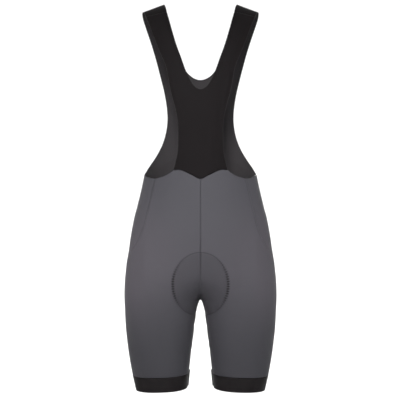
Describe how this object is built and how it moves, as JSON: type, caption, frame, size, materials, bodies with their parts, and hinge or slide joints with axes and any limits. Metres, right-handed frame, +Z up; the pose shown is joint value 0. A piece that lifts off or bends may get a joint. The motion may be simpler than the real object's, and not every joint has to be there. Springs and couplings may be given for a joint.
{
  "type": "cycling bib shorts",
  "caption": "Sleeveless bib shorts with a scooped strap bib, fitted panelled legs, elastic leg bands and a seat pad, in the hollow form they take when worn.",
  "frame": {"origin": "midway between the places where the wearer's shoulders carry the straps, at the crest of the straps", "axes": "+Z up, -Y the wearer's front, +X the wearer's left"},
  "size_m": [0.3556, 0.2239, 0.9012],
  "materials": {
    "grey_knit": "grey stretch warp knit, matt with a slight sheen",
    "black_knit": "black stretch knit, matt",
    "black_elastic": "black woven elastic band with a satin face",
    "black_foam": "black brushed fabric over foam"
  },
  "bodies": {
    "root": {"bib_front": "black_knit", "bib_back": "black_knit", "shorts_front_left": "grey_knit", "shorts_front_right": "grey_knit", "shorts_back_left": "grey_knit", "shorts_back_right": "grey_knit", "gripper_left": "black_elastic", "gripper_right": "black_elastic", "seat_pad": "black_foam"}
  },
  "joints": []
}
